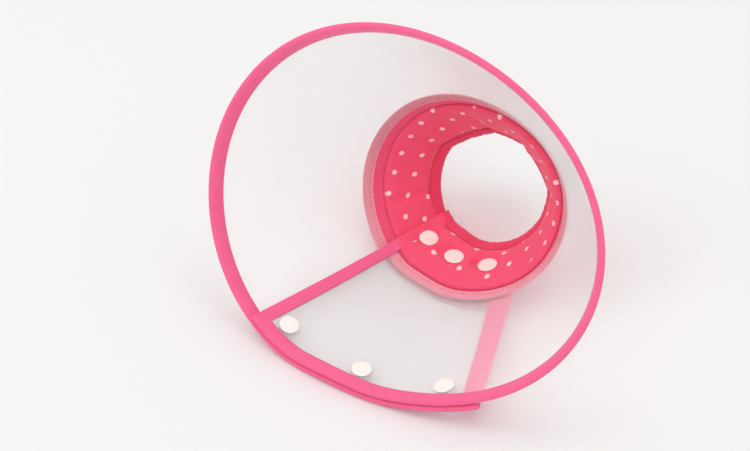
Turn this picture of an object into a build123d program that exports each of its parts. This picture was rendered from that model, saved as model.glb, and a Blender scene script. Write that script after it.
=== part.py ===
"""Elizabethan (cone) collar for a cat or small dog, snapped shut and lying on its overlap.

One PVC strip is wrapped into a cone whose two ends overlap and are held by six snaps. The part is
modelled around the cone's apex and then moved, so that the origin is at the bottom centre of its box:
+Z up, the mouth towards -Y, the neck towards +Y.
"""

import os
from math import ceil, cos, radians, sin, tan

from build123d import *

# Places along the sheet, as slant distances from the cone's apex (mm)
RIM = 250.0             # outer edge of the bound rim
NECK_EDGE = 135.0       # inner edge of the PVC sheet
NECK_HEM = 83.0         # edge of the neck opening
RIM_TAPE = 8.5          # width of the tape folded over the rim
HEM_TAPE = 7.0          # width of the tape folded over the neck hem
LINING_EDGE = 127.0     # where the dotted lining is turned down, short of the PVC
FABRIC_EDGE = 142.0     # where the cuff's outer fabric is sewn to the PVC
RIM_SNAP_ROW = 233.0
NECK_SNAP_ROW = 109.0
CUFF_LEAN, CUFF_TWIST = 13.0, 3.3   # the cuff sits lower on the cone at the bottom than at the top

# Places round the cone, in degrees from its lowest generator, turning from -X towards +X
INNER_END = -52.0       # end of the sheet that lies inside
OUTER_END = 410.0       # end of the sheet that lies outside, more than a turn later
FLAP_HINGE = 58.0       # the inner end bends along this generator when it is unsnapped
HINGE_GAP = 0.4
RIM_SNAPS = {"left": -42.5, "middle": -5.5, "right": 34.5}
NECK_SNAPS = {"left": -36.0, "middle": -5.5, "right": 30.0}

# Cross-section of the cone at unit distance along its middle line
LOW_ANGLE = 19.43       # between the middle line and the lowest generator
EGG, OVAL, TRIPLE = -0.298, -0.069, 0.016
SIDE_LEAN, SIDE_RIPPLE = -0.052, -0.014
SETTLING = 0.01         # how far its lowest stretch is pressed flat by the collar's weight
MEAN_RADIUS = tan(radians(LOW_ANGLE)) / (1 + EGG + OVAL + TRIPLE)

# Levels through the thickness, measured inwards from the cone's outer face (mm)
LAYER_PITCH = 4.8       # from the outer end of the sheet to the inner end lying on it
SPREAD_START, SPREAD_END = 75.0, 300.0      # the wrap changes level between these turns
SHEET = (1.2, 1.8)
SHEET_TAPE = (2.1, 2.7)
RIM_LEGS = ((-0.3, 0.9), (2.1, 3.0))
HEM_LEGS = ((0.1, 0.7), (3.5, 4.1))
JOIN_TAPE = (0.92, 1.12)
CUFF_FABRIC = (0.2, 0.8)
CUFF_PADDING = (0.9, 3.3)
CUFF_LINING = (3.4, 4.0)
HINGE_LEVEL = 4.3       # above everything on the flap, so that nothing jams as it folds inwards

# Tapes and the gaps between neighbours (mm, degrees)
TAPE_WEB = 0.9          # thickness of a tape where it is folded over an edge
INNER_TAPE_WIDTH, OUTER_TAPE_WIDTH = 8.0, 12.0   # on the sheet, beyond the cuff
END_TAPE_WEB, END_TAPE_SLACK = 0.7, 0.1
CUFF_SETBACK = 10.5     # the lining and the outer fabric stop this far short of a bound end
END_SKEW = 2.0          # the leaning cuff's edges rise this much across the end's tape
GAP = 0.2
SEAM = 1.0              # how far one sewn piece reaches past or stops short of the next

# Snap fasteners (mm)
CAP_RADIUS, CAP_THICKNESS, CAP_DOME, CAP_SHOULDER = 6.2, 0.75, 0.35, 1.4
POST_RADIUS, POST_LENGTH, POST_HOLE = 1.6, 1.5, 1.75
STUD_RADIUS, STUD_BASE = 4.8, 0.85
NUB_BASE, NUB_TIP, NUB_HEIGHT = 2.4, 2.1, 1.2
SOCKET_RADIUS, SOCKET_MOUTH, SOCKET_DEPTH, SOCKET_LEVEL = 5.0, 3.3, 1.3, 3.0
POCKET_RADIUS = 6.7     # of the hollow in the cuff round a snap
SEAT = 0.25             # a flat piece stands this far off the hollow side of the curved sheet
TOUCH = 0.02            # and this far off its crowned side
REACH = 4.0             # how far a drilled hole runs past what it cuts

SAMPLE_STEP = 5.0       # degrees between the points that a wrapped edge is drawn through


def pressed(height):
    """Height of the section after its lowest stretch has settled flat on the table."""
    return (height**2 + SETTLING**2) ** 0.5 - SETTLING


def generator(turn):
    """Unit vector from the apex along the sheet, at this many degrees round the cone."""
    a = radians(turn)
    ripple = EGG * cos(a) + OVAL * cos(2 * a) + TRIPLE * cos(3 * a)
    ripple += SIDE_LEAN * sin(a) + SIDE_RIPPLE * sin(3 * a)
    radius = MEAN_RADIUS * (1 + ripple)
    low = tan(radians(LOW_ANGLE))
    height = pressed(low - radius * cos(a)) - low
    middle = Vector(0, -cos(radians(LOW_ANGLE)), sin(radians(LOW_ANGLE)))
    upright = Vector(0, sin(radians(LOW_ANGLE)), cos(radians(LOW_ANGLE)))
    return (middle + Vector(radius * sin(a), 0, 0) + upright * height).normalized()


def frame_at(turn):
    """Generator, inward normal and sideways tangent of the cone at this turn."""
    along = generator(turn)
    sideways = (generator(turn + 0.5) - generator(turn - 0.5)).normalized()
    inward = along.cross(sideways).normalized()
    return along, inward, sideways


def layer(turn):
    """Level of the wrapped sheet: the inner end lies one pitch inside the outer end."""
    share = min(max((turn - SPREAD_START) / (SPREAD_END - SPREAD_START), 0.0), 1.0)
    return LAYER_PITCH * (1 - share * share * (3 - 2 * share))


def reach(turn, slant):
    """True distance from the apex: the cuff leans across the cone, and the rim doesn't."""
    lean = CUFF_LEAN * cos(radians(turn)) + CUFF_TWIST * sin(radians(2 * turn))
    return slant + lean * min((RIM - slant) / (RIM - NECK_EDGE), 1.0)


def place(turn, slant, level):
    """A point of the wrapped sheet, from the apex."""
    along, inward, _ = frame_at(turn)
    return along * reach(turn, slant) + inward * (layer(turn) + level)


def wrapped(start, end, profile):
    """Solid that follows the cone from one turn to another, with a (slant, level) profile."""
    count = ceil((end - start) / SAMPLE_STEP)
    turns = [start + (end - start) * i / count for i in range(count + 1)]
    rails = [
        Edge.make_spline([place(t, s, n) for t in turns], parameters=turns)
        for s, n in profile
    ]
    faces = [
        Face.make_surface_from_curves(a, b)
        for a, b in zip(rails, rails[1:] + rails[:1])
    ]
    for turn in (start, end):
        outline = Wire.make_polygon([place(turn, s, n) for s, n in profile], close=True)
        faces.append(Face(outline))
    return Solid(Shell(faces)).fix()


def band(start, end, slants, levels):
    """Wrapped strip with a plain rectangular section."""
    (s0, s1), (n0, n1) = slants, levels
    return wrapped(start, end, [(s0, n0), (s1, n0), (s1, n1), (s0, n1)])


def u_tape(start, end, edge, depth, legs):
    """Tape folded round a wrapped edge: a web at the edge and a leg on each face."""
    outer, inner = legs
    web = edge - (TAPE_WEB if depth > 0 else -TAPE_WEB)
    profile = [
        (edge, outer[0]), (edge - depth, outer[0]), (edge - depth, outer[1]), (web, outer[1]),
        (web, inner[0]), (edge - depth, inner[0]), (edge - depth, inner[1]), (edge, inner[1]),
    ]
    return wrapped(start, end, profile)


def end_point(turn, delta, slant, level):
    """A point of the wrapped sheet near a straight end, moved into the section at the end."""
    along, _, _ = frame_at(turn)
    point = place(turn + delta, slant, level)
    return point + along * (reach(turn, slant) - point.dot(along))


def end_tape(turn, side, slants, widths, outer, inner):
    """Tape folded round a straight end between two slant distances, as wide as given at each."""
    degree = (generator(turn + side) - generator(turn)).length
    web, slack = -END_TAPE_WEB - END_TAPE_SLACK, -END_TAPE_SLACK
    outlines = []
    for slant, width in zip(slants, widths):
        half = width / 2
        section = [
            (web, outer[0]), (half, outer[0]), (width, outer[0]),
            (width, outer[1]), (half, outer[1]), (slack, outer[1]),
            (slack, inner[0]), (half, inner[0]), (width, inner[0]),
            (width, inner[1]), (half, inner[1]), (web, inner[1]),
        ]
        step = side / (degree * reach(turn, slant))
        points = [end_point(turn, across * step, slant, level) for across, level in section]
        outlines.append(Wire.make_polygon(points, close=True))
    return Solid.make_loft(outlines, ruled=True)


def snap_planes(row, slant):
    """Planes on the cone's outer face under the snaps of a row, with their Z pointing inwards."""
    planes = []
    for turn in row.values():
        along, inward, _ = frame_at(turn)
        planes.append(Plane(origin=along * reach(turn, slant), x_dir=along, z_dir=inward))
    return planes


def disc(plane, radius, low, high, tip=None):
    """Round solid standing on a plane between two levels, tapering to tip where it is given."""
    tip = radius if tip is None else tip
    base = plane.offset(low)
    outlines = [Wire.make_circle(radius, base), Wire.make_circle(tip, plane.offset(high))]
    return Solid.make_loft(outlines, ruled=True)


def snap_cap(plane, face, outwards):
    """Round domed cap on a face of the sheet, with the post that goes through the sheet."""
    way = -1 if outwards else 1
    low = face + (-TOUCH if outwards else SEAT)
    rim = low + way * CAP_THICKNESS
    body = disc(plane, CAP_RADIUS, low, rim)
    dome = disc(plane, CAP_RADIUS, rim, rim + way * CAP_DOME, tip=CAP_RADIUS - CAP_SHOULDER)
    post = disc(plane, POST_RADIUS, low, low - way * POST_LENGTH)
    return body + dome + post


def snap_stud(plane, face):
    """Stud on the outer end's inner face, with a tapered nub round the cap's post."""
    base = disc(plane, STUD_RADIUS, face + SEAT, face + STUD_BASE)
    nub = disc(plane, NUB_BASE, face + STUD_BASE, face + STUD_BASE + NUB_HEIGHT, tip=NUB_TIP)
    hole = disc(plane, POST_HOLE, face - SEAM, face + STUD_BASE + SEAT)
    return base + nub - hole


def snap_socket(plane, face):
    """Socket on the flap's outer face: an open cup that the stud's nub goes into."""
    body = disc(plane, SOCKET_RADIUS, SOCKET_LEVEL, face - TOUCH)
    mouth = disc(plane, SOCKET_MOUTH, SOCKET_LEVEL - SEAM, SOCKET_LEVEL + SOCKET_DEPTH)
    hole = disc(plane, POST_HOLE, SOCKET_LEVEL + SOCKET_DEPTH, face + SEAM)
    return body - mouth - hole


def drill(solid, planes, radius, low, high):
    """Cut the same round hole at each snap."""
    for plane in planes:
        solid = solid - disc(plane, radius, low, high)
    return solid


def snaps(name, row, planes):
    """The four pieces of each snap in one row."""
    nodes = {}
    for side, plane in zip(row, planes):
        nodes[f"{name}_outer_cap_{side}"] = snap_cap(plane, SHEET[0], outwards=True)
        nodes[f"{name}_stud_{side}"] = snap_stud(plane, SHEET[1])
        nodes[f"{name}_socket_{side}"] = snap_socket(plane, LAYER_PITCH + SHEET[0])
        nodes[f"{name}_inner_cap_{side}"] = snap_cap(plane, LAYER_PITCH + SHEET[1], outwards=False)
    return nodes


def cuff_cover(start, end, hem):
    """Lining over the padding, turned down at its edge to meet the seam allowance."""
    turned = LINING_EDGE - TAPE_WEB
    bottom = JOIN_TAPE[1] + GAP / 2
    return wrapped(start, end, [
        (hem, CUFF_LINING[0]), (turned, CUFF_LINING[0]), (turned, bottom),
        (LINING_EDGE, bottom), (LINING_EDGE, CUFF_LINING[1]), (hem, CUFF_LINING[1]),
    ])


def wrap_pieces(start, end, bound, base, neck_planes, rim_planes):
    """Sheet, tapes and cuff between two turns, drilled for their snaps. bound is the taped end."""
    soft_start = start + CUFF_SETBACK if bound == start else start
    soft_end = end - CUFF_SETBACK if bound == end else end
    hem = NECK_HEM + HEM_TAPE + GAP
    over, under = base + SHEET[1], base + SHEET[0]
    sheet = band(start, end, (NECK_EDGE, RIM - TAPE_WEB - GAP), SHEET)
    padding = band(start, end, (NECK_HEM + TAPE_WEB + GAP, LINING_EDGE - SEAM - GAP), CUFF_PADDING)
    fabric = band(soft_start, soft_end, (hem, FABRIC_EDGE), CUFF_FABRIC)
    rim_tape = u_tape(start, end, RIM, RIM_TAPE, RIM_LEGS)
    padding = drill(padding, neck_planes, POST_HOLE, base, base + REACH)
    padding = drill(padding, neck_planes, POCKET_RADIUS, over, over + REACH)
    lining = cuff_cover(soft_start, soft_end, hem)
    return {
        "sheet": drill(sheet, rim_planes, POST_HOLE, base, base + REACH),
        "rim_binding": rim_tape.split(Plane.XY, keep=Keep.TOP),
        "join_tape": band(start, end, (LINING_EDGE - GAP, FABRIC_EDGE - SEAM), JOIN_TAPE),
        "cuff_padding": drill(padding, neck_planes, POCKET_RADIUS, under - REACH, under),
        "cuff_fabric": drill(fabric, neck_planes, POCKET_RADIUS, under - REACH, under),
        "cuff_lining": drill(lining, neck_planes, POCKET_RADIUS, over, over + REACH),
        "hem_binding": u_tape(start, end, NECK_HEM, -HEM_TAPE, HEM_LEGS),
    }


def bound_end(turn, side, width, planes):
    """Tape folded over one straight end, along the cuff, its seam allowance and then the sheet."""
    places = [slant + END_SKEW for slant in (NECK_HEM + HEM_TAPE, LINING_EDGE, FABRIC_EDGE)]
    places.append(RIM - RIM_TAPE - GAP)
    share = (generator(turn + side) - generator(turn)).length * CUFF_SETBACK
    narrow = [reach(turn, slant) * share - TAPE_WEB for slant in places]
    tape = end_tape(turn, side, places[:2], narrow[:2], CUFF_FABRIC, CUFF_LINING)
    tape += end_tape(turn, side, places[1:3], narrow[1:3], CUFF_FABRIC, SHEET_TAPE)
    tape += end_tape(turn, side, places[2:], (width, width), CUFF_FABRIC, SHEET_TAPE)
    over, under = layer(turn) + SHEET[1], layer(turn) + SHEET[0]
    tape = drill(tape, planes, POCKET_RADIUS, over, over + REACH)
    return drill(tape, planes, POCKET_RADIUS, under - REACH, under)


def build_nodes():
    """Every node of the collar, from the apex."""
    neck = snap_planes(NECK_SNAPS, NECK_SNAP_ROW)
    rim = snap_planes(RIM_SNAPS, RIM_SNAP_ROW)
    main = wrap_pieces(FLAP_HINGE, OUTER_END, OUTER_END, 0, neck, rim)
    flap = wrap_pieces(INNER_END, FLAP_HINGE - HINGE_GAP, INNER_END, LAYER_PITCH, neck, rim)
    nodes = {f"collar_{name}": solid for name, solid in main.items()}
    nodes.update({f"flap_{name}": solid for name, solid in flap.items()})
    nodes["collar_end_binding"] = bound_end(OUTER_END, -1, OUTER_TAPE_WIDTH, neck[2:])
    nodes["flap_end_binding"] = bound_end(INNER_END, 1, INNER_TAPE_WIDTH, neck[:1])
    nodes.update(snaps("rim", RIM_SNAPS, rim))
    nodes.update(snaps("neck", NECK_SNAPS, neck))
    return nodes


def apex_place(nodes):
    """Where the apex goes, so that the origin is at the bottom centre of the whole box."""
    boxes = [solid.bounding_box() for solid in nodes.values()]
    low = [min(tuple(box.min)[i] for box in boxes) for i in range(3)]
    high = [max(tuple(box.max)[i] for box in boxes) for i in range(3)]
    return Location((-(low[0] + high[0]) / 2, -(low[1] + high[1]) / 2, -low[2]))


def main():
    os.makedirs("parts", exist_ok=True)
    nodes = build_nodes()
    apex = apex_place(nodes)
    for name, solid in nodes.items():
        export_step(solid.moved(apex), f"parts/{name}.step")
    print(len(nodes), "nodes, with the cone's apex at", apex.position)


if __name__ == "__main__":
    main()
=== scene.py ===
"""Looks of the elizabethan collar: frosted PVC cone, bound edges, padded dotted cuff and press studs.

Places on the wrapped strip are given as in part.py: turn in degrees from the lowest generator of the
cone, slant in mm from its apex, and level in mm inwards from its outer face.
"""

import math

import bmesh
import bpy
import numpy as np
from mathutils import Matrix, Vector


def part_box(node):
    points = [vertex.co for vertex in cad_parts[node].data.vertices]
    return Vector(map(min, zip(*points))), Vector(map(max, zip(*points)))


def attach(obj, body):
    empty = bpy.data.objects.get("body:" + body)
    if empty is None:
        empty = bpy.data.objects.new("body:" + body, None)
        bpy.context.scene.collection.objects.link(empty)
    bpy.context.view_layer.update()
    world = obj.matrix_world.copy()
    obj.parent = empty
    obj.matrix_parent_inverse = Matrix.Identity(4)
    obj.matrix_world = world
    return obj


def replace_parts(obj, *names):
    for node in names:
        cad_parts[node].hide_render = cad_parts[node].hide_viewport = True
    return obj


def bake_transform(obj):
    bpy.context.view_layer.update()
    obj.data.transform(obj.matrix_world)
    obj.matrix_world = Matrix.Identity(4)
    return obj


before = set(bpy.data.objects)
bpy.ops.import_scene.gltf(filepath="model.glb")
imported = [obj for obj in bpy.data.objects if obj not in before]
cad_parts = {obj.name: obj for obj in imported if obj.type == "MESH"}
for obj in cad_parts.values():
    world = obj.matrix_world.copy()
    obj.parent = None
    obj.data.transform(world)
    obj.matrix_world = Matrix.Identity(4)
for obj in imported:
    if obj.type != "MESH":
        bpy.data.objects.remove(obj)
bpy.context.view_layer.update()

MM = 0.001
RNG = np.random.default_rng(11)

# The strip, as in part.py
RIM, RIM_TAPE = 250.0, 8.5
NECK_EDGE, NECK_HEM, HEM_TAPE = 135.0, 83.0, 7.0
LINING_EDGE, FABRIC_EDGE = 127.0, 142.0
RIM_SNAP_ROW, NECK_SNAP_ROW = 233.0, 109.0
CUFF_LEAN, CUFF_TWIST = 13.0, 3.3
INNER_END, OUTER_END, FLAP_HINGE = -52.0, 410.0, 58.0
SNAP_TURNS = {
    "rim": {"left": -42.5, "middle": -5.5, "right": 34.5},
    "neck": {"left": -36.0, "middle": -5.5, "right": 30.0},
}
SNAP_ROWS = {"rim": RIM_SNAP_ROW, "neck": NECK_SNAP_ROW}
LOW_ANGLE = math.radians(19.43)
EGG, OVAL, TRIPLE = -0.298, -0.069, 0.016
SIDE_LEAN, SIDE_RIPPLE = -0.052, -0.014
SETTLING = 0.01
MEAN_RADIUS = math.tan(LOW_ANGLE) / (1 + EGG + OVAL + TRIPLE)
LAYER_PITCH, SPREAD_START, SPREAD_END = 4.8, 75.0, 300.0
SHEET = (1.2, 1.8)

# How far the sheet's straight ends lie askew of the cone's generators, in degrees per mm
INNER_SKEW, OUTER_SKEW, OUTER_PIVOT = 0.019, 0.032, 200.0

# How much further out or in the soft cuff lies than the CAD's plain cone, in mm: for the hem, its mean
# and its shares of cos, sin and cos of twice the turn
HEM_SHIFT, RING_SHIFT = (1.35, 3.0, 2.2, -0.9), -1.6

# How far the lining's edge reaches towards the sheet's edge on the overlap, in mm
EDGE_REACH = 6.6

# Slant of the outer edge of the lining's printed part
PRINT_EDGE = 127.0

# The lining's printed cloth against the cone laid flat
PRINT_RADIUS = 120.0
FLAP_PRINT = dict(share=1.0, ease=0.8, scale=1.03, across=7.7, along=-14.5)
COLLAR_PRINT = dict(share=1.1, ease=0.9, scale=1.0, across=0.0, along=0.0)

# Where the two stretches of each long piece meet, in a crease of the cuff beyond the hinge
SEAM = 109.25
HALVES = {"collar": (SEAM, OUTER_END), "flap": (INNER_END, SEAM)}

# Corners between which the hem is pulled straight, more so over a short stretch than over a long one
HEM_CORNERS = (SEAM, 165.75, 199.75, 246.25, 321.0)
SHORT_STRETCH, SHORT_PULL, LONG_PULL = 60, 0.6, 0.12

# Levels of the cuff, in mm: the flat lining's face, its sewn edge, and its pieces under a neck snap
LINING_LEVEL, SEWN_EDGE_LEVEL = 3.75, 1.45
PRESSED_LINING, PRESSED_PADDING, PRESSED_FABRIC = 2.02, (1.62, 1.7), 1.28
TAPE_MIDDLE = 1.62        # between the two legs of an end tape
TAPE_FACE = 2.55          # of an end tape's inner leg, on the sheet
CUFF_START = NECK_HEM + HEM_TAPE - 3   # slant where the lining and the fabric go under the hem tape

# The flap lies flat on the cuff between these turns, so nothing swells there
UNDER_FLAP = (290.0, 312.0)

STITCH_PITCH, STITCH_LENGTH, THREAD_RADIUS = 3.0, 2.1, 0.19 * MM
SNAP_SIDES = 36

# Room, in metres
FLOOR_HALF, FLOOR_DROP = 6.0, 0.0003
WORLD_STRENGTH = 0.86
LIT_POINT = (0, 0, 0.05)
CAMERA_AZIMUTH, CAMERA_ELEVATION = math.radians(28.32), math.radians(41.24)
CAMERA_BACK, CAMERA_LEFT, CAMERA_DOWN, CAMERA_LENS = 1.32755, 0.110022, 0.044542, 96


def unit(v):
    return v / np.linalg.norm(v, axis=-1, keepdims=True)


def smooth(low, high, x):
    t = np.clip((np.asarray(x, float) - low) / (high - low), 0, 1)
    return t * t * (3 - 2 * t)


def generator(turn):
    """Unit vectors from the apex along the sheet."""
    a = np.radians(np.asarray(turn, float))
    ripple = EGG * np.cos(a) + OVAL * np.cos(2 * a) + TRIPLE * np.cos(3 * a)
    ripple = ripple + SIDE_LEAN * np.sin(a) + SIDE_RIPPLE * np.sin(3 * a)
    radius = MEAN_RADIUS * (1 + ripple)
    low = math.tan(LOW_ANGLE)
    height = low - radius * np.cos(a)
    height = np.sqrt(height**2 + SETTLING**2) - SETTLING - low
    s, c = math.sin(LOW_ANGLE), math.cos(LOW_ANGLE)
    return unit(np.stack([radius * np.sin(a), -c + s * height, s + c * height], -1))


def frame_at(turn):
    """Generator, inward normal and sideways tangent of the cone."""
    turn = np.asarray(turn, float)
    along = generator(turn)
    sideways = unit(generator(turn + 0.5) - generator(turn - 0.5))
    return along, unit(np.cross(along, sideways)), sideways


def layer(turn):
    """How much further in the strip lies where it goes under itself, in mm."""
    return LAYER_PITCH * (1 - smooth(SPREAD_START, SPREAD_END, turn))


def reach(turn, slant):
    """Distance from the apex, as the cuff leans away from the plain cone."""
    a = np.radians(turn)
    lean = CUFF_LEAN * np.cos(a) + CUFF_TWIST * np.sin(2 * a)
    return slant + lean * np.minimum((RIM - slant) / (RIM - NECK_EDGE), 1)


def from_apex(turn, slant, level):
    """Places on the plain wrapped cone, as vectors from its apex in metres."""
    along, inward, _ = frame_at(turn)
    level = layer(turn) + level
    return (along * np.asarray(reach(turn, slant))[..., None] + inward * np.asarray(level)[..., None]) * MM


def find_apex():
    """The cone's apex in the row frame, from the CAD rim binding's box."""
    turns = np.arange(FLAP_HINGE, OUTER_END + 0.01, 0.25)[:, None]
    slants, levels = np.array([RIM, RIM, RIM - RIM_TAPE]), np.array([-0.3, 3.0, 3.0])
    rim = from_apex(turns, slants[None] + 0 * turns, levels[None] + 0 * turns).reshape(-1, 3)
    low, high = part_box("collar_rim_binding")
    own_low, own_high = rim.min(0), rim.max(0)
    return np.array([
        (low[0] + high[0] - own_low[0] - own_high[0]) / 2,
        low[1] - own_low[1],
        high[2] - own_high[2],
    ])


APEX = find_apex()
PHI_TURNS = np.arange(-60.0, 430.0, 0.5)
PHI = np.concatenate([[0], np.cumsum(np.linalg.norm(np.diff(generator(PHI_TURNS), axis=0), axis=1))])
PHI = PHI - np.interp(180.0, PHI_TURNS, PHI)


def phi_of(turn):
    """Angle of a generator on the strip laid flat, in radians."""
    return np.interp(turn, PHI_TURNS, PHI)


def hem_pull(turn):
    """How far the hem is pulled straight between its corners, as vectors in metres."""
    turn = np.asarray(turn, float)
    pull = np.zeros(turn.shape + (3,))
    for a, b in zip(HEM_CORNERS, HEM_CORNERS[1:]):
        ends = from_apex(np.array([a, b]), NECK_HEM, 2.0)
        share = np.clip((turn - a) / (b - a), 0, 1)
        here = from_apex(turn, NECK_HEM, 2.0)
        straight = ends[0] + share[..., None] * (ends[1] - ends[0])
        inside = ((turn > a) & (turn < b))[..., None]
        strength = SHORT_PULL if b - a < SHORT_STRETCH else LONG_PULL
        pull += np.where(inside, (straight - here) * strength, 0)
    return pull


def askew(turn, slant):
    """Turn where a place ends up, as the sheet's two straight ends lie a little askew of the cone."""
    inner = INNER_SKEW * (RIM - slant) * (1 - smooth(INNER_END, INNER_END + 25, turn))
    outer = OUTER_SKEW * (OUTER_PIVOT - slant) * smooth(OUTER_END - 25, OUTER_END, turn)
    return turn + inner + outer


def place(turn, slant, level):
    """Points of the wrapped strip in the row frame, in metres."""
    turn, slant, level = np.broadcast_arrays(
        np.asarray(turn, float), np.asarray(slant, float), np.asarray(level, float)
    )
    turn = askew(turn, slant)
    share = 1 - smooth(NECK_HEM + 2, NECK_HEM + 34, slant)
    a = np.radians(turn)
    mean, bottom, side, oval = HEM_SHIFT
    hem_shift = mean + bottom * np.cos(a) + side * np.sin(a) + oval * np.cos(2 * a)
    ring_shift = RING_SHIFT * np.sin(a) ** 2 * smooth(100, NECK_EDGE, slant)
    ring_shift = ring_shift * (1 - smooth(NECK_EDGE, 200, slant))
    points = from_apex(turn, slant + hem_shift * share + ring_shift, level) + APEX
    if np.any(share > 0):
        points = points + hem_pull(turn) * share[..., None]
    points[..., 2] = np.maximum(points[..., 2], 0.0)
    return points


def flat_place(turn, slant):
    """The same places on the strip laid flat, in metres."""
    phi = phi_of(turn)
    slant = np.asarray(slant, float) * MM
    return np.stack(np.broadcast_arrays(slant * np.sin(phi), slant * np.cos(phi)), -1)


def eased(phi, slant, share, ease, scale, across, along):
    """Places on cloth that was eased round the cone by one set of the print's parameters, in metres."""
    radius = (PRINT_RADIUS / share + (slant - PRINT_RADIUS) * ease) * scale
    spot = [radius * np.sin(phi * share) + across, radius * np.cos(phi * share) + along]
    return np.stack(np.broadcast_arrays(*spot), -1) * MM


def print_place(turn, slant):
    """Places on the lining's printed cloth, which is eased a little as it goes round the neck, in metres."""
    turn, slant = np.broadcast_arrays(np.asarray(turn, float), np.asarray(slant, float))
    phi = phi_of(turn)
    blend = smooth(80, 150, turn)[..., None]
    return eased(phi, slant, **FLAP_PRINT) * (1 - blend) + eased(phi, slant, **COLLAR_PRINT) * blend


# ---------------------------------------------------------------- meshes


def finish_mesh(name, points, faces, flats=None, sharp=50, slot=None, material=None):
    mesh = bpy.data.meshes.new(name)
    mesh.from_pydata(np.asarray(points).reshape(-1, 3).tolist(), [], [list(map(int, f)) for f in faces])
    if flats is not None:
        layer_uv = mesh.uv_layers.new(name="flat")
        corner = np.zeros(len(mesh.loops), np.int32)
        mesh.loops.foreach_get("vertex_index", corner)
        layer_uv.data.foreach_set("uv", np.asarray(flats, np.float32).reshape(-1, 2)[corner].ravel())
    bm = bmesh.new()
    bm.from_mesh(mesh)
    bmesh.ops.recalc_face_normals(bm, faces=bm.faces)
    bm.to_mesh(mesh)
    bm.free()
    mesh.shade_smooth()
    mesh.set_sharp_from_angle(angle=math.radians(sharp))
    obj = bpy.data.objects.new(name, mesh)
    bpy.context.scene.collection.objects.link(obj)
    if material:
        mesh.materials.append(material)
    return obj


def sweep(name, rings, flats=None, **kw):
    """Closed solid through rings of points. The first half of a ring faces its second half reversed."""
    n, k = rings.shape[:2]
    i, j = np.meshgrid(np.arange(n - 1), np.arange(k), indexing="ij")
    after = (j + 1) % k
    corners = [i * k + j, i * k + after, (i + 1) * k + after, (i + 1) * k + j]
    faces = np.stack(corners, -1).reshape(-1, 4).tolist()
    for base in (0, (n - 1) * k):
        faces += [[base + a, base + a + 1, base + k - 2 - a, base + k - 1 - a] for a in range(k // 2 - 1)]
    return finish_mesh(name, rings, faces, flats, **kw)


def strip(name, turns, slants, outer, inner, **kw):
    """Closed sheet over a grid of turns and slants between two level arrays."""
    t = turns[:, None]
    s = np.broadcast_to(slants, (len(turns), len(slants)))
    outside = place(t, s, outer)
    inside = place(t, s, inner)
    rings = np.concatenate([outside, inside[:, ::-1]], 1)
    flat = flat_place(t, s)
    return sweep(name, rings, np.concatenate([flat, flat[:, ::-1]], 1), **kw)


def turn_steps(start, end, step):
    """Evenly spaced turns, at most a step apart."""
    return np.linspace(start, end, max(3, int(math.ceil((end - start) / step)) + 1))


def wrapped(name, turns, profile, **kw):
    """Closed solid with one (slant, level) profile, or an array of one for each turn."""
    profile = np.asarray(profile, float)
    if profile.ndim == 2:
        profile = np.broadcast_to(profile, (len(turns),) + profile.shape)
    slants, levels = profile[..., 0], profile[..., 1]
    return sweep(name, place(turns[:, None], slants, levels), flat_place(turns[:, None], slants), **kw)


def lathe(points, count):
    """Rings of a round body from (radius, height) points, in mm."""
    angles = np.linspace(0, 2 * math.pi, count, endpoint=False)
    return np.array([[(r * math.cos(a), r * math.sin(a), z) for a in angles] for r, z in points])


def around_faces(spans, rings, count):
    """Faces between neighbouring rings, where the last span of a closed ring section returns to the first."""
    return [
        [i % rings * count + a, i % rings * count + (a + 1) % count,
         (i + 1) % rings * count + (a + 1) % count, (i + 1) % rings * count + a]
        for i in range(spans) for a in range(count)
    ]


def on_plane(name, plane, verts, faces, **kw):
    """Body given in mm in a snap's plane."""
    origin, x, y, z = plane
    local = np.array(verts) * MM
    world = origin + local[:, :1] * x + local[:, 1:2] * y + local[:, 2:] * z
    return finish_mesh(name, world, faces, local[:, :2], **kw)


def round_body(name, plane, points, **kw):
    """Body turned about a snap's axis. The first and last points lie on the axis."""
    count = SNAP_SIDES
    rings = lathe(points[1:-1], count)
    n = len(rings)
    verts = rings.reshape(-1, 3).tolist() + [[0, 0, points[0][1]], [0, 0, points[-1][1]]]
    faces = around_faces(n - 1, n, count)
    faces += [[n * count, (a + 1) % count, a] for a in range(count)]
    last = (n - 1) * count
    faces += [[n * count + 1, last + a, last + (a + 1) % count] for a in range(count)]
    return on_plane(name, plane, verts, faces, **kw)


# ---------------------------------------------------------------- materials


def linear(r, g, b):
    """Scene-linear colour of a display colour given from 0 to 255."""
    out = []
    for value in (r, g, b):
        c = value / 255
        out.append(c / 12.92 if c <= 0.04045 else ((c + 0.055) / 1.055) ** 2.4)
    return (*out, 1.0)


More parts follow.
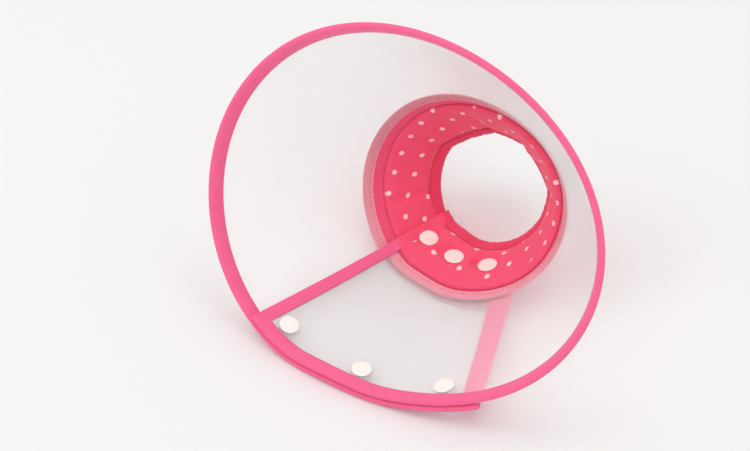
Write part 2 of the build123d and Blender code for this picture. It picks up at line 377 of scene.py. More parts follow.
class Nodes:
    """A new material's nodes, with short ways to add and join them."""

    def __init__(self, name):
        self.material = bpy.data.materials.new(name)
        self.material.use_nodes = True
        self.tree = self.material.node_tree
        self.bsdf = self.tree.nodes["Principled BSDF"]
        self.output = self.tree.nodes["Material Output"]

    def add(self, kind, inputs=None, **settings):
        node = self.tree.nodes.new(kind)
        for key, value in settings.items():
            setattr(node, key, value)
        for key, value in (inputs or {}).items():
            self.put(node.inputs[key], value)
        return node

    def put(self, socket, value):
        if isinstance(value, bpy.types.NodeSocket):
            self.tree.links.new(value, socket)
        else:
            socket.default_value = value

    def math(self, operation, a, b=0.0, c=0.0, clamp=False):
        node = self.add("ShaderNodeMath", {0: a, 1: b, 2: c}, operation=operation, use_clamp=clamp)
        return node.outputs[0]

    def mix(self, share, a, b):
        node = self.add("ShaderNodeMix", data_type="RGBA")
        self.put(node.inputs["Factor"], share)
        self.put(node.inputs["A"], a)
        self.put(node.inputs["B"], b)
        return node.outputs["Result"]

    def flat_uv(self):
        return self.add("ShaderNodeUVMap", uv_map="flat").outputs[0]

    def position(self):
        return self.add("ShaderNodeTexCoord").outputs["Object"]

    def noise(self, vector, scale, detail=3.0, rough=0.55):
        return self.add(
            "ShaderNodeTexNoise", {"Vector": vector, "Scale": scale, "Detail": detail, "Roughness": rough}
        ).outputs[0]

    def turned(self, vector, degrees, scale):
        node = self.add("ShaderNodeMapping", {"Vector": vector, "Rotation": (0, 0, math.radians(degrees))})
        node.inputs["Scale"].default_value = (scale, scale, scale)
        return node.outputs[0]

    def bump(self, height, strength, distance):
        node = self.add("ShaderNodeBump", {"Height": height, "Strength": strength, "Distance": distance})
        self.put(self.bsdf.inputs["Normal"], node.outputs[0])

    def surface(self, **values):
        for key, value in values.items():
            self.put(self.bsdf.inputs[key.replace("_", " ")], value)


def weave(nodes, vector, threads_per_metre, degrees):
    """Height of a plain weave, from 0 to 1: two sets of threads that pass over and under."""
    turned = nodes.turned(vector, degrees, threads_per_metre)
    split = nodes.add("ShaderNodeSeparateXYZ", {0: turned})
    u, v = split.outputs[0], split.outputs[1]
    wave_u = nodes.math("ABSOLUTE", nodes.math("SINE", nodes.math("MULTIPLY", u, math.pi)))
    wave_v = nodes.math("ABSOLUTE", nodes.math("SINE", nodes.math("MULTIPLY", v, math.pi)))
    parity = nodes.math("PINGPONG", nodes.math("ADD", nodes.math("FLOOR", u), nodes.math("FLOOR", v)), 1.0)
    over_u = nodes.math("MULTIPLY", wave_u, nodes.math("MULTIPLY_ADD", wave_v, 0.5, 0.5))
    over_v = nodes.math("MULTIPLY", wave_v, nodes.math("MULTIPLY_ADD", wave_u, 0.5, 0.5))
    mixed = nodes.add("ShaderNodeMix", {0: parity}, data_type="FLOAT")
    nodes.put(mixed.inputs[2], over_u)
    nodes.put(mixed.inputs[3], over_v)
    return mixed.outputs[0]


def fabric(name, colour, dark, pitch, degrees, dots=None, dot_colour=None):
    """Woven cotton with uneven dye, painted shade in the hollows between its fine threads, a soft sheen, and
    printed dots if asked for.
    """
    nodes = Nodes(name)
    uv, spot = nodes.flat_uv(), nodes.position()
    threads = weave(nodes, uv, 1 / pitch, degrees)
    uneven = nodes.noise(spot, 90.0)
    fine = nodes.noise(spot, 1500.0, 2.0)
    share = nodes.math("MULTIPLY_ADD", uneven, 0.45, nodes.math("MULTIPLY", fine, 0.25), clamp=True)
    base = nodes.mix(share, dark, colour)
    # Painted shade: darker towards the dark colour where the weave is low, in the hollows between threads
    base = nodes.mix(nodes.math("MULTIPLY_ADD", threads, -0.28, 0.28), base, dark)
    if dots:
        base = nodes.mix(dot_mask(nodes, uv, **dots), base, dot_colour)
    nodes.surface(Base_Color=base, Roughness=0.85, Sheen_Weight=0.25, Sheen_Roughness=0.45)
    nodes.bsdf.inputs["Specular IOR Level"].default_value = 0.25
    nodes.bump(nodes.math("MULTIPLY_ADD", fine, 0.5, threads), 0.35, 0.00015)
    return nodes.material


def dot_mask(nodes, uv, pitch, degrees, shift, radius):
    """1 inside small round dots printed on a square lattice, with a slightly uneven edge."""
    moved = nodes.add("ShaderNodeVectorMath", {0: uv, 1: (shift[0], shift[1], 0)}, operation="ADD")
    turned = nodes.turned(moved.outputs[0], degrees, 1 / pitch)
    cell = nodes.add("ShaderNodeVectorMath", {0: turned}, operation="FRACTION")
    offset = nodes.add("ShaderNodeVectorMath", {0: cell.outputs[0], 1: (0.5, 0.5, 0)}, operation="SUBTRACT")
    flatten = nodes.add("ShaderNodeVectorMath", {0: offset.outputs[0], 1: (1, 1, 0)}, operation="MULTIPLY")
    length = nodes.add("ShaderNodeVectorMath", {0: flatten.outputs[0]}, operation="LENGTH").outputs["Value"]
    edge = nodes.math("MULTIPLY_ADD", nodes.noise(uv, 1200.0, 2.0), 0.05, length)
    span = nodes.add("ShaderNodeMapRange", {0: edge}, interpolation_type="SMOOTHSTEP")
    limit = radius / pitch
    for key, value in ((1, limit + 0.05), (2, limit - 0.01), (3, 0.0), (4, 1.0)):
        span.inputs[key].default_value = value
    return span.outputs[0]


def pvc_material():
    """Frosted clear PVC: lets most light through, blurred, with a faint milky haze."""
    nodes = Nodes("frosted_pvc")
    spot = nodes.position()
    haze = nodes.noise(spot, 14.0, 4.0)
    base = nodes.mix(haze, linear(253, 253, 253), linear(255, 255, 255))
    grain = nodes.noise(spot, 900.0, 2.0)
    wave = nodes.noise(spot, 25.0, 2.0)
    rough = nodes.math("MULTIPLY_ADD", grain, 0.08, 0.32)
    nodes.surface(Base_Color=base, Roughness=rough, IOR=1.06, Transmission_Weight=0.83)
    nodes.bump(nodes.math("MULTIPLY_ADD", grain, 0.15, wave), 0.12, 0.0006)
    clear = nodes.add("ShaderNodeBsdfTransparent", {0: linear(250, 246, 246)})
    shadow = nodes.add("ShaderNodeLightPath").outputs["Is Shadow Ray"]
    mixed = nodes.add("ShaderNodeMixShader", {0: shadow, 1: nodes.bsdf.outputs[0], 2: clear.outputs[0]})
    nodes.put(nodes.output.inputs[0], mixed.outputs[0])
    return nodes.material


def snap_material():
    """Creamy moulded acetal with a satin surface."""
    nodes = Nodes("snap_plastic")
    spot = nodes.position()
    tint = nodes.mix(nodes.noise(spot, 160.0), linear(250, 243, 232), linear(255, 252, 246))
    nodes.surface(Base_Color=tint, Roughness=nodes.math("MULTIPLY_ADD", nodes.noise(spot, 700.0), 0.12, 0.3))
    nodes.surface(Coat_Weight=0.15, Coat_Roughness=0.25)
    nodes.bsdf.inputs["Specular IOR Level"].default_value = 0.5
    nodes.bump(nodes.noise(spot, 1100.0, 2.0), 0.08, 0.0002)
    return nodes.material


def foam_material():
    nodes = Nodes("padding_foam")
    spot = nodes.position()
    cells = nodes.add("ShaderNodeTexVoronoi", {"Vector": spot, "Scale": 900.0}).outputs[0]
    base = nodes.mix(cells, linear(226, 222, 214), linear(246, 243, 238))
    nodes.surface(Base_Color=base, Roughness=0.95)
    nodes.bump(cells, 0.5, 0.0004)
    return nodes.material


def thread_material():
    nodes = Nodes("stitching_thread")
    spot = nodes.position()
    base = nodes.mix(nodes.noise(spot, 2500.0, 1.0), linear(222, 78, 112), linear(250, 128, 158))
    nodes.surface(Base_Color=base, Roughness=0.6, Sheen_Weight=0.2)
    nodes.bump(nodes.noise(spot, 3000.0, 1.0), 0.3, 0.0001)
    return nodes.material


PVC = pvc_material()
TAPE = fabric("binding_tape", linear(255, 122, 168), linear(243, 94, 140), 0.0009, 45.0)
PLAIN = fabric("cuff_fabric", linear(253, 108, 148), linear(241, 84, 124), 0.0008, 45.0)
HEM = fabric("hem_tape", linear(247, 86, 124), linear(230, 60, 98), 0.0008, 45.0)
LINING_COLOURS = (linear(255, 102, 138), linear(247, 80, 114))
DOTS = dict(pitch=0.0144, degrees=45.0, shift=(0.0121, 0.0070), radius=0.0017)
DOTTED = fabric(
    "dotted_lining", *LINING_COLOURS, 0.0007, 10.0, dots=DOTS, dot_colour=linear(255, 222, 224),
)
PLAIN_LINING = fabric("plain_lining", *LINING_COLOURS, 0.0007, 10.0)
SNAP = snap_material()
FOAM = foam_material()
THREAD = thread_material()

# ---------------------------------------------------------------- where things ride


def hinge_line():
    """Two points across the hinge generator, on the collar's side and on the flap's side."""
    _, _, sideways = frame_at(FLAP_HINGE)
    middle = place(FLAP_HINGE, 170.0, 1.5)
    return middle + sideways * 12 * MM, middle - sideways * 12 * MM


HINGE_START, HINGE_STOP = hinge_line()


def settle(obj, half, *nodes):
    """Puts a collar piece on the collar's body or bakes a flap piece's place into its mesh, and stands it for
    CAD nodes.
    """
    if half == "collar":
        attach(obj, "collar")
    else:
        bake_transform(obj)
    if nodes:
        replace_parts(obj, *nodes)
    return obj


# ---------------------------------------------------------------- snaps


def snap_plane(row, side):
    """Origin and axes of a snap, with its own axis inwards."""
    turn, slant = SNAP_TURNS[row][side], SNAP_ROWS[row]
    along, inward, _ = frame_at(turn)
    origin = along * reach(turn, slant) * MM + APEX
    return origin, along, np.cross(inward, along), inward


def cap_profile(face, way, seat):
    """Points of a cap: a post through the sheet, a rounded flange and a shallow dish in its face."""
    low = face + way * seat
    shape = [
        (0, -1.5), (1.6, -1.5), (1.6, 0), (5.7, 0), (6.05, 0.08), (6.2, 0.3), (6.2, 0.5), (6.05, 0.72),
        (5.7, 0.86), (5.2, 0.95), (4.6, 1.02), (4.0, 1.04), (3.6, 0.98), (2.4, 0.95), (1.2, 0.96), (0, 0.97),
    ]
    return [(r, low + way * z) for r, z in shape]


def stud_profile():
    base = SHEET[1] + 0.25
    shape = [
        (1.75, 0), (4.5, 0), (4.8, 0.2), (4.8, 0.45), (4.5, 0.6), (2.9, 0.6), (2.5, 0.72), (2.35, 1.1),
        (2.45, 1.4), (2.3, 1.7), (2.0, 1.8), (1.75, 1.8),
    ]
    return [(r, base + z) for r, z in shape]


def socket_profile():
    shape = [
        (3.3, 0), (4.7, 0), (5.0, 0.25), (5.0, 1.6), (4.85, 2.6), (4.6, 2.95), (1.75, 2.95), (1.75, 1.3),
        (3.0, 1.3), (3.3, 1.1),
    ]
    return [(r, 3.0 + z) for r, z in shape]


def ring_body(name, plane, points, **kw):
    """Body turned about a snap's axis, with a hole through its middle."""
    rings = lathe(points, SNAP_SIDES)
    faces = around_faces(len(points), len(points), SNAP_SIDES)
    return on_plane(name, plane, rings.reshape(-1, 3), faces, **kw)


def make_snaps():
    look = dict(slot="snap_plastic", material=SNAP, sharp=35)
    for row in SNAP_TURNS:
        for side in SNAP_TURNS[row]:
            plane = snap_plane(row, side)
            outer = round_body(f"{row}_cap_outside_{side}", plane, cap_profile(SHEET[0], -1, 0.02), **look)
            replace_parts(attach(outer, "collar"), f"{row}_outer_cap_{side}")
            stud = ring_body(f"{row}_stud_body_{side}", plane, stud_profile(), **look)
            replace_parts(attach(stud, "collar"), f"{row}_stud_{side}")
            socket = ring_body(f"{row}_socket_body_{side}", plane, socket_profile(), **look)
            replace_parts(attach(socket, "closure_flap"), f"{row}_socket_{side}")
            inner = round_body(
                f"{row}_cap_inside_{side}", plane, cap_profile(LAYER_PITCH + SHEET[1], 1, 0.25), **look
            )
            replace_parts(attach(inner, "closure_flap"), f"{row}_inner_cap_{side}")


# ---------------------------------------------------------------- sheet and tapes


def bumps(count, low, high, reach_deg):
    """Seeded wave over turns: a smooth sum of a few uneven bumps, about -1 to 1."""
    centres = RNG.uniform(low, high, count)
    heights = RNG.uniform(-1, 1, count)
    widths = RNG.uniform(0.6, 1.4, count) * reach_deg

    def value(turn):
        turn = np.asarray(turn, float)[..., None]
        return (heights * np.exp(-(((turn - centres) / widths) ** 2))).sum(-1)

    return value


SHEET_WAVE = bumps(60, INNER_END, OUTER_END, 9.0)
CUFF_WAVE = bumps(90, INNER_END, OUTER_END, 4.5)
GATHER = bumps(420, INNER_END, OUTER_END, 0.9)


def sheet_wave(turn, slant):
    """Slight waves of the PVC between its bound edges, in mm."""
    middle = smooth(NECK_EDGE, 165, slant) * (1 - smooth(215, RIM - RIM_TAPE, slant))
    return 0.28 * SHEET_WAVE(turn) * middle


def make_sheet(half):
    start, end = HALVES[half]
    turns = turn_steps(start, end, 1.5)
    slants = np.concatenate([np.linspace(NECK_EDGE, 240, 22), [245.0, RIM - 1.1]])
    wave = sheet_wave(turns[:, None], slants[None])
    obj = strip(
        f"{half}_pvc", turns, slants, SHEET[0] + wave, SHEET[1] + wave,
        slot="frosted_pvc", material=PVC, sharp=60,
    )
    return settle(obj, half, f"{half}_sheet")


def rim_profile():
    """Slant and level of the tape folded over the rim, round its outside and back along its inside."""
    outer = [
        (9.0, 1.12), (8.95, 0.55), (8.5, 0.30), (7.6, 0.28), (6.9, 0.0), (5.0, -0.42), (3.0, -0.55),
        (1.3, -0.42), (0.3, -0.02), (-0.3, 0.7), (-0.45, 1.5),
    ]
    inner = [(d, 3.0 - level) for d, level in outer[-2::-1]]
    inside = [
        (8.9, 1.88), (7.0, 1.86), (5.0, 1.86), (2.5, 1.86), (1.3, 1.84), (1.1, 1.7), (1.05, 1.6), (1.04, 1.5),
        (1.05, 1.4), (1.1, 1.3), (1.3, 1.16), (2.5, 1.14), (5.0, 1.14), (7.0, 1.14), (8.9, 1.14),
    ]
    path = outer + inner
    ways, along = np.linspace(0, 1, len(path)), np.linspace(0, 1, len(inside))
    back = np.stack([np.interp(ways, along, column) for column in np.transpose(inside)], 1)
    return np.concatenate([path, back]) * (-1, 1) + (RIM, 0)


def make_rim(half):
    start, end = HALVES[half]
    turns = turn_steps(start, end, 1.0)
    obj = wrapped(f"{half}_rim_tape", turns, rim_profile(), slot="binding_tape", material=TAPE, sharp=45)
    return settle(obj, half, f"{half}_rim_binding")


END_WIDTH = {"flap": 8.2, "collar": 12.6}   # of the tapes on the straight ends
CUFF_END_WIDTH = 12.0   # of the inner end's fold over the cuff


def end_rings(turn, side, slants, outer, inner, widths):
    """Rings of a tape folded round a straight end: level of its legs and its width at each slant."""
    degree = np.linalg.norm(generator(turn + side) - generator(turn))
    rings, flats = [], []
    for s, o, i, width in zip(slants, outer, inner, widths):
        step = side / (degree * reach(turn, s))
        middle = (o + i) / 2
        half = (i - o) / 2
        path = [
            (width, o + 0.55), (width, o + 0.12), (width - 0.5, o + 0.03), (width - 1.6, o + 0.08),
            (width / 2, o - 0.12), (1.0, o - 0.1), (-0.1, o + 0.1), (-0.55, middle - half * 0.6),
            (-0.7, middle), (-0.55, middle + half * 0.6), (-0.1, i - 0.1), (1.0, i + 0.1),
            (width / 2, i + 0.12), (width - 1.6, i - 0.08), (width - 0.5, i - 0.03),
            (width, i - 0.12), (width, i - 0.55),
        ]
        a, b = o + 0.5, i - 0.5
        back = [
            (width - 0.1, b), (width - 0.6, b), (width - 1.6, b), (width / 2, b), (2.0, b),
            (1.0, b), (0.2, b), (-0.15, middle + (b - middle) * 0.7), (-0.2, middle),
            (-0.15, middle + (a - middle) * 0.7), (0.2, a), (1.0, a), (2.0, a), (width / 2, a),
            (width - 1.6, a), (width - 0.6, a), (width - 0.1, a),
        ]
        section = np.array(path + back)
        around, level = turn + section[:, 0] * step, section[:, 1]
        level = TAPE_MIDDLE + (level - TAPE_MIDDLE) * (1 - 0.8 * squeezed(around, s))
        rings.append(place(around, s, level))
        flats.append(flat_place(turn + section[:, 0] * step, s))
    return np.array(rings), np.array(flats)


def make_end(half):
    """Tape A on the inner end, or tape B on the outer end."""
    turn, side = (INNER_END, 1) if half == "flap" else (OUTER_END, -1)
    slants = np.concatenate([
        np.linspace(NECK_HEM + HEM_TAPE - 0.5, LINING_EDGE - 1, 16),
        np.linspace(LINING_EDGE, LINING_EDGE + 3, 5),
        np.linspace(LINING_EDGE + 5, RIM - RIM_TAPE + 0.4, 40),
    ])
    raised = 1 - smooth(LINING_EDGE - 1.5, LINING_EDGE + 2.5, slants)
    inner = TAPE_FACE + raised * (cuff_top(half, turn + side * 3, LINING_EDGE - 10) + 0.6 - TAPE_FACE)
    outer = np.where(slants < FABRIC_EDGE, 0.15, 0.15 + 0.5 * smooth(FABRIC_EDGE, FABRIC_EDGE + 2, slants))
    widths = END_WIDTH[half] + np.zeros(len(slants))
    if half == "flap":
        widths += (CUFF_END_WIDTH - END_WIDTH[half]) * (1 - smooth(LINING_EDGE - 6, LINING_EDGE + 6, slants))
    rings, flats = end_rings(turn, side, slants, outer, inner, widths)
    name = "inner_end_tape" if half == "flap" else "outer_end_tape"
    obj = sweep(name, rings, flats, slot="binding_tape", material=TAPE, sharp=45)
    obj.data.materials.append(PLAIN_LINING)
    for face in obj.data.polygons:
        on_cuff = face.vertices[0] // rings.shape[1] < np.searchsorted(slants, LINING_EDGE + 2)
        face.material_index = int(on_cuff)
    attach(obj, "closure_flap" if half == "flap" else "collar")
    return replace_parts(obj, f"{half}_end_binding")


# ---------------------------------------------------------------- padded cuff

# Turn, width in degrees and depth of each crease across the cuff
CREASES = ((286.0, 2.8, 0.8), (246.25, 3.0, 0.4), (199.75, 3.0, 0.35), (165.75, 3.0, 0.35),
           (109.25, 3.5, 0.45), (224.0, 2.5, 0.2), (138.0, 3.0, 0.25), (-43.0, 2.5, 0.3))


def squeezed(turn, slant, inner=7.2, outer=12.5):
    """1 where a neck snap squeezes the cuff flat, and 0 away from the snaps."""
    turn, slant = np.broadcast_arrays(np.asarray(turn, float), np.asarray(slant, float))
    turn = askew(turn, slant)
    out = np.zeros(turn.shape)
    for side, at in SNAP_TURNS["neck"].items():
        for wrap in (at, at + 360):
            degree = float(np.linalg.norm(generator(at + 1) - generator(at)))
            across = (turn - wrap) * degree * reach(at, NECK_SNAP_ROW)
            distance = np.hypot(across, reach(turn, slant) - reach(at, NECK_SNAP_ROW))
            out = np.maximum(out, 1 - smooth(inner, outer, distance))
    return out


def free_share(turn):
    """1 where nothing lies on the cuff, and 0 where the flap does, near the outer end."""
    return 1 - smooth(*UNDER_FLAP, turn)


def cuff_top(half, turn, slant):
    """Level of the lining's face, in mm, before the snaps squeeze it."""
    turn, slant = np.broadcast_arrays(np.asarray(turn, float), np.asarray(slant, float))
    across = np.clip((slant - NECK_HEM - 8) / (LINING_EDGE - NECK_HEM - 8), 0, 1)
    crown = np.sin(math.pi * across**0.85) ** 0.6
    crease = np.ones(turn.shape)
    for at, width, depth in CREASES:
        crease = crease - depth * np.exp(-(((turn - at) / width) ** 2))
    near_end = smooth(INNER_END + 5, INNER_END + 13, turn)
    swell = 2.3 * crown * crease + 0.35 * CUFF_WAVE(turn) * crown
    swell = swell * free_share(turn) * near_end
    gathers = 0.22 * GATHER(turn) * np.exp(-((slant - NECK_HEM - 5) / 9.0) ** 2) * near_end * free_share(turn)
    crease_by_hem = 0.9 * np.exp(-(((slant - NECK_HEM - 8.8) / 2.2) ** 2)) * free_share(turn)
    return LINING_LEVEL + np.maximum(swell, -0.3) + gathers - crease_by_hem


def cuff_grid(half):
    """Turns of a cuff piece, which stops a little short of the strip's own end."""
    start, end = HALVES[half]
    return turn_steps(start + (0.6 if half == "flap" else 0), end - (0.6 if half == "collar" else 0), 0.75)


def edge_reach(turn, slant):
    """How much further out the lining's sewn edge lies under the closed overlap, in mm."""
    under = smooth(INNER_END - 40, INNER_END + 25, turn) * (1 - smooth(60, 100, turn))
    return EDGE_REACH * under * smooth(116, LINING_EDGE, slant)


def make_lining(half):
    turns = cuff_grid(half)
    body = np.linspace(CUFF_START, LINING_EDGE - 2.5, 46)
    turned = np.array([-1.8, -1.1, -0.6, -0.25, -0.05, 0.0, 0.0, -0.15, -0.5, -1.0]) + LINING_EDGE
    drop = np.array([0.02, 0.09, 0.22, 0.4, 0.62, 0.8, 0.93, 1.0, 1.0, 1.0])
    slants = np.concatenate([body, turned])
    fall = np.concatenate([np.zeros(len(body)), drop])
    t = turns[:, None]
    top = cuff_top(half, t, slants[None])
    top = top * (1 - fall) + SEWN_EDGE_LEVEL * fall
    slants = slants + edge_reach(t, slants[None])
    press = squeezed(t, slants)
    top = top * (1 - press) + PRESSED_LINING * press
    thick = np.where(press > 0.5, 0.26, 0.45)
    under = top - thick * np.maximum(1 - fall, 0.25)
    inset = slants - 0.45 * np.minimum(fall * 1.6, 1)
    outside = place(t, slants, top)
    inside = place(t, inset, under)
    flat = print_place(t, slants)
    rings = np.concatenate([outside, inside[:, ::-1]], 1)
    obj = sweep(f"{half}_lining", rings, np.concatenate([flat, flat[:, ::-1]], 1),
                slot="dotted_lining", material=DOTTED, sharp=70)
    obj.data.materials.append(PLAIN_LINING)
    for face in obj.data.polygons:
        row, column = divmod(face.vertices[0], rings.shape[1])
        face.material_index = int(column < slants.shape[1] and slants[row, column] > PRINT_EDGE)
    settle(obj, half, f"{half}_cuff_lining")
    edge = LINING_EDGE + edge_reach(sheet_turns(half), LINING_EDGE)
    return cloth(obj, half, edge)


def sheet_turns(half):
    """Turns along one stretch of cloth, at which its cut edge is worked out."""
    return np.linspace(*HALVES[half], 200)


def cloth(obj, half, outer):
    """Returns the piece as it is, after working out the turns and outer slant of its cut as a ring sector."""
    turns = sheet_turns(half)
    outer = outer + np.zeros(len(turns))
    return obj


def make_padding(half):
    turns = cuff_grid(half)[::2]
    slants = np.linspace(NECK_HEM + 1.3, LINING_EDGE - 1.6, 26)
    t = turns[:, None]
    top = cuff_top(half, t, slants[None]) - 0.62
    edge = smooth(LINING_EDGE - 1.5, LINING_EDGE - 5, slants) * smooth(NECK_HEM + 1.0, NECK_HEM + 4, slants)
    top = 1.25 + (top - 1.25) * edge
    press = squeezed(t, slants[None], 7.6, 12.9)
    top = top * (1 - press) + PRESSED_PADDING[1] * press
    bottom = 0.75 * (1 - press) + PRESSED_PADDING[0] * press
    obj = strip(f"{half}_padding", turns, slants, bottom, np.maximum(top, bottom + 0.05),
                slot="padding_foam", material=FOAM, sharp=60)
    settle(obj, half, f"{half}_cuff_padding")
    return obj


def make_fabric(half):
    turns = cuff_grid(half)
    slants = np.concatenate([
        np.linspace(CUFF_START, NECK_EDGE - 2, 36), np.linspace(NECK_EDGE - 1, FABRIC_EDGE, 8),
    ])
    t = turns[:, None]
    ripple = 0.05 * CUFF_WAVE(t) * (1 - smooth(300, 312, t))
    low = 0.18 + ripple + 0 * slants[None]
    press = squeezed(t, slants[None])
    low = low * (1 - press) + PRESSED_FABRIC * press
    high = low + np.where(press > 0.5, 0.3, 0.5)
    obj = strip(f"{half}_outer_fabric", turns, slants, low, high,
                slot="cuff_fabric", material=PLAIN, sharp=60)
    settle(obj, half, f"{half}_cuff_fabric")
    return cloth(obj, half, FABRIC_EDGE)


def make_join(half):
    """Seam allowance between the lining and the sheet, on the cuff's inner side."""
    turns = cuff_grid(half)
    slants = np.linspace(LINING_EDGE - 2, FABRIC_EDGE - 1, 14)
    t = turns[:, None]
    level = 0.78 + 0.05 * CUFF_WAVE(t) + 0 * slants[None]
    obj = strip(f"{half}_seam_allowance", turns, slants, level, level + 0.3,
                slot="cuff_fabric", material=PLAIN, sharp=60)
    return settle(obj, half, f"{half}_join_tape")


def make_hem(half):
    """Plain tape rolled over the neck hem."""
    start, end = HALVES[half]
    turns = turn_steps(start, end, 0.75)
    free = free_share(turns) * smooth(INNER_END + 5, INNER_END + 13, turns)
    puff = 0.55 * free + 0.2 * GATHER(turns) * free + 0.15 * CUFF_WAVE(turns) * free
    rings = []
    for p in puff:
        top = 4.15 + max(p, 0)
        outer = [
            (8.7, 0.35), (8.4, 0.15), (5.6, 0.02), (3.0, -0.02), (1.3, 0.25), (0.35, 0.9), (0.0, 1.7),
            (0.0, 2.5), (0.35, top - 0.9), (1.3, top - 0.25), (3.2, top + 0.1), (5.8, top + 0.05),
            (8.3, top - 0.35), (8.8, top - 0.85),
        ]
        inside = [
            (8.7, top - 1.0), (8.1, top - 0.9), (5.6, top - 0.5), (3.2, top - 0.5), (2.0, top - 0.8),
            (1.3, top - 1.3), (1.0, 2.4), (1.0, 1.8), (1.3, 1.25), (2.0, 0.85), (3.2, 0.62), (5.6, 0.6),
            (8.0, 0.62), (8.6, 0.6),
        ]
        rings.append([(NECK_HEM + d, level) for d, level in outer + inside])
    obj = wrapped(f"{half}_hem_roll", turns, np.array(rings), slot="cuff_fabric", material=HEM, sharp=60)
    return settle(obj, half, f"{half}_hem_binding")


# ---------------------------------------------------------------- stitching


def capsules(name, starts, ends, ups, **kw):
    """Small rounded stitches from start to end points, sunk a little into the cloth."""
    verts, faces = [], []
    sides, shape = 6, ((0.0, 0.35), (0.18, 0.8), (0.5, 1.0), (0.82, 0.8), (1.0, 0.35))
    for a, b, up in zip(starts, ends, ups):
        d = b - a
        x = unit(np.cross(d, up))
        y = unit(np.cross(x, d))
        base = len(verts)
        for share, width in shape:
            for k in range(sides):
                angle = 2 * math.pi * k / sides
                out = x * math.cos(angle) + y * math.sin(angle) * 0.8
                verts.append(a + d * share + out * THREAD_RADIUS * width)
        for i in range(len(shape) - 1):
            for k in range(sides):
                n, low, high = (k + 1) % sides, base + i * sides, base + (i + 1) * sides
                faces.append([low + k, low + n, high + n, high + k])
        faces.append([base + k for k in reversed(range(sides))])
        faces.append([base + (len(shape) - 1) * sides + k for k in range(sides)])
    return finish_mesh(name, np.array(verts), faces, **kw)


def turn_stitches(name, half, slant, level, way, margin=1.0):
    """A row of stitches round the cone."""
    start, end = HALVES[half]
    phi = phi_of(np.array([start + margin, end - margin]))
    slant_line = reach(180.0, slant) if slant < NECK_EDGE else slant
    count = int((phi[1] - phi[0]) * slant_line / STITCH_PITCH)
    marks = np.linspace(phi[0], phi[1], count, endpoint=False)
    t0 = np.interp(marks, PHI, PHI_TURNS)
    t1 = np.interp(marks + STITCH_LENGTH / slant_line, PHI, PHI_TURNS)
    _, inward, _ = frame_at(t0)
    obj = capsules(name, place(t0, slant, level), place(t1, slant, level), inward * way,
                   slot="binding_tape", material=THREAD, sharp=80)
    return settle(obj, half)


def end_stitches(name, half, face):
    """Stitches along the tape on a straight end, near its inner edge."""
    turn, side = (INNER_END, 1) if half == "flap" else (OUTER_END, -1)
    degree = np.linalg.norm(generator(turn + side) - generator(turn))
    marks = np.arange(FABRIC_EDGE + 2, RIM - RIM_TAPE - 3, STITCH_PITCH)
    where = END_WIDTH[half] - 1.5
    t0 = turn + where * side / (degree * reach(turn, marks))
    t1 = turn + where * side / (degree * reach(turn, marks + STITCH_LENGTH))
    level, way = (2.5, 1) if face == "inside" else (0.66, -1)
    _, inward, _ = frame_at(t0)
    obj = capsules(name, place(t0, marks, level), place(t1, marks + STITCH_LENGTH, level), inward * way,
                   slot="binding_tape", material=THREAD, sharp=80)
    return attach(obj, "closure_flap" if half == "flap" else "collar")


def make_stitches():
    for half in HALVES:
        for face, level, way in (("inside", 2.64, 1), ("outside", 0.36, -1)):
            turn_stitches(f"{half}_rim_stitches_{face}", half, RIM - RIM_TAPE + 1.5, level, way)
            end_stitches(f"{half}_end_stitches_{face}", half, face)
        turn_stitches(f"{half}_cuff_stitches", half, NECK_EDGE + 2.5, SHEET[1] + 0.03, 1, margin=9.0)
        turn_stitches(f"{half}_fabric_stitches", half, NECK_EDGE + 2.5, 0.16, -1, margin=9.0)


# ---------------------------------------------------------------- room, light and camera


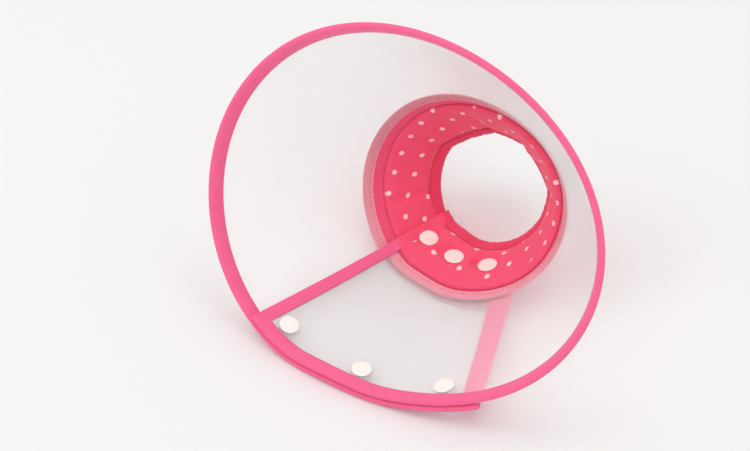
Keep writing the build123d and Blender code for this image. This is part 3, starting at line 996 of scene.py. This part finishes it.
def make_room():
    nodes = Nodes("pale_floor")
    spot = nodes.position()
    base = nodes.mix(nodes.noise(spot, 3.0), linear(240, 240, 239), linear(241, 241, 240))
    nodes.surface(Base_Color=base, Roughness=0.9)
    nodes.bsdf.inputs["Specular IOR Level"].default_value = 0.1
    corners = [(-1, -1), (1, -1), (1, 1), (-1, 1)]
    points = [(x * FLOOR_HALF, y * FLOOR_HALF, -FLOOR_DROP) for x, y in corners]
    floor = finish_mesh("floor", points, [(0, 1, 2, 3)], material=nodes.material)


def area_light(name, place_at, size, power):
    """Square light that faces the middle of the collar."""
    data = bpy.data.lights.new(name, "AREA")
    data.size = size
    data.energy = power
    light = bpy.data.objects.new(name, data)
    light.location = place_at
    direction = Vector(LIT_POINT) - Vector(place_at)
    light.rotation_euler = direction.to_track_quat("-Z", "Y").to_euler()
    bpy.context.scene.collection.objects.link(light)


def make_light():
    world = bpy.data.worlds.new("studio")
    world.use_nodes = True
    background = world.node_tree.nodes["Background"]
    background.inputs[0].default_value = (1, 1, 1, 1)
    background.inputs[1].default_value = WORLD_STRENGTH
    bpy.context.scene.world = world
    area_light("softbox_top", (0.3, -0.4, 1.9), 1.8, 8.0)
    area_light("softbox_left", (-1.6, -1.0, 1.4), 1.4, 4.5)


def make_camera():
    """Camera 28 degrees to the right of the mouth and 41 degrees up."""
    level = math.cos(CAMERA_ELEVATION)
    back = np.array([
        math.sin(CAMERA_AZIMUTH) * level, -math.cos(CAMERA_AZIMUTH) * level, math.sin(CAMERA_ELEVATION),
    ])
    right = np.array([math.cos(CAMERA_AZIMUTH), math.sin(CAMERA_AZIMUTH), 0])
    up = np.cross(back, right)
    data = bpy.data.cameras.new("camera")
    data.lens = CAMERA_LENS
    data.sensor_width = 36
    data.clip_end = 50
    camera = bpy.data.objects.new("camera", data)
    place_at = APEX + back * CAMERA_BACK - right * CAMERA_LEFT - up * CAMERA_DOWN
    camera.matrix_world = Matrix([
        [right[0], up[0], back[0], place_at[0]],
        [right[1], up[1], back[1], place_at[1]],
        [right[2], up[2], back[2], place_at[2]],
        [0, 0, 0, 1],
    ])
    bpy.context.scene.collection.objects.link(camera)
    bpy.context.scene.camera = camera
    bpy.context.scene.view_settings.view_transform = "Standard"


for half_name in HALVES:
    make_sheet(half_name)
    make_rim(half_name)
    make_end(half_name)
    make_padding(half_name)
    make_lining(half_name)
    make_fabric(half_name)
    make_join(half_name)
    make_hem(half_name)
make_snaps()
make_stitches()
make_room()
make_light()
make_camera()
